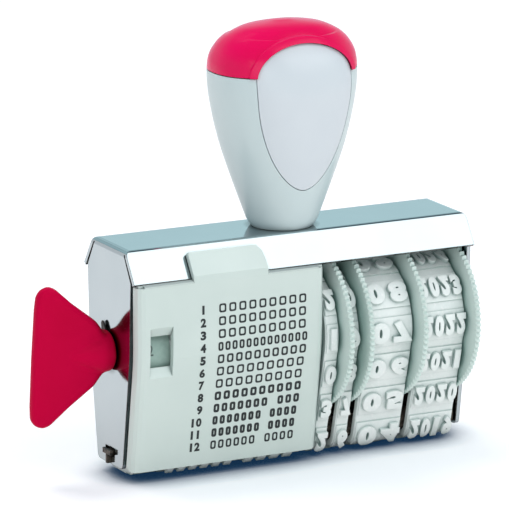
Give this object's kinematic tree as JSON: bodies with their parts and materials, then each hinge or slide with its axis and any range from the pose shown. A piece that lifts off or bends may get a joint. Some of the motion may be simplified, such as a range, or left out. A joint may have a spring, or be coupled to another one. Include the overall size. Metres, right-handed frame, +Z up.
{
  "type": "hand-held date and phrase stamp",
  "caption": "Hand-held dater with thumb-wheel date bands and a knob-driven phrase band in a pressed steel frame, under an upright moulded handle.",
  "frame": {"origin": "on the printing face, in the middle of the frame's length and depth", "axes": "+X along the frame from the knob to the year wheel, +Z up through the handle, -Y towards the covered front"},
  "size_m": [0.0917, 0.0324, 0.0862],
  "materials": {
    "plated_steel": "bright nickel plate, mirror-like, on pressed sheet steel",
    "drawn_steel": "drawn steel, dull bright",
    "band_rubber": "moulded pale grey rubber",
    "wheel_plastic": "moulded grey-green plastic",
    "cover_plastic": "moulded pale grey-green plastic, satin",
    "handle_plastic": "moulded pale blue-grey plastic, satin gloss",
    "inset_plastic": "moulded pale plastic plate, satin gloss",
    "red_plastic": "moulded crimson plastic, gloss"
  },
  "bodies": {
    "stamp_body": {"frame": "plated_steel", "platen": "drawn_steel", "phrase_cover": "cover_plastic", "year_band": "band_rubber", "month_band": "band_rubber", "day_units_band": "band_rubber", "day_tens_band": "band_rubber", "phrase_band": "band_rubber", "spring_washer": "drawn_steel", "handle_body": "handle_plastic", "handle_cap": "red_plastic", "handle_front_inset": "inset_plastic", "handle_rear_inset": "inset_plastic", "handle_screw": "drawn_steel", "handle_screw_washer": "drawn_steel"},
    "knob_shaft": {"knob": "red_plastic", "knob_washer": "drawn_steel", "wheel_axle": "drawn_steel", "phrase_drum": "wheel_plastic"},
    "year_dial": {"year_wheel": "wheel_plastic"},
    "month_dial": {"month_wheel": "wheel_plastic"},
    "day_units_dial": {"day_units_wheel": "wheel_plastic"},
    "day_tens_dial": {"day_tens_wheel": "wheel_plastic"}
  },
  "joints": [
    {"name": "knob_turn", "type": "hinge", "parent": "stamp_body", "child": "knob_shaft", "pos_m": [0, 0, 0.025], "axis": [1, 0, 0], "continuous": true},
    {"name": "year_turn", "type": "hinge", "parent": "stamp_body", "child": "year_dial", "pos_m": [0, 0, 0.025], "axis": [1, 0, 0], "continuous": true},
    {"name": "month_turn", "type": "hinge", "parent": "stamp_body", "child": "month_dial", "pos_m": [0, 0, 0.025], "axis": [1, 0, 0], "continuous": true},
    {"name": "day_units_turn", "type": "hinge", "parent": "stamp_body", "child": "day_units_dial", "pos_m": [0, 0, 0.025], "axis": [1, 0, 0], "continuous": true},
    {"name": "day_tens_turn", "type": "hinge", "parent": "stamp_body", "child": "day_tens_dial", "pos_m": [0, 0, 0.025], "axis": [1, 0, 0], "continuous": true}
  ]
}
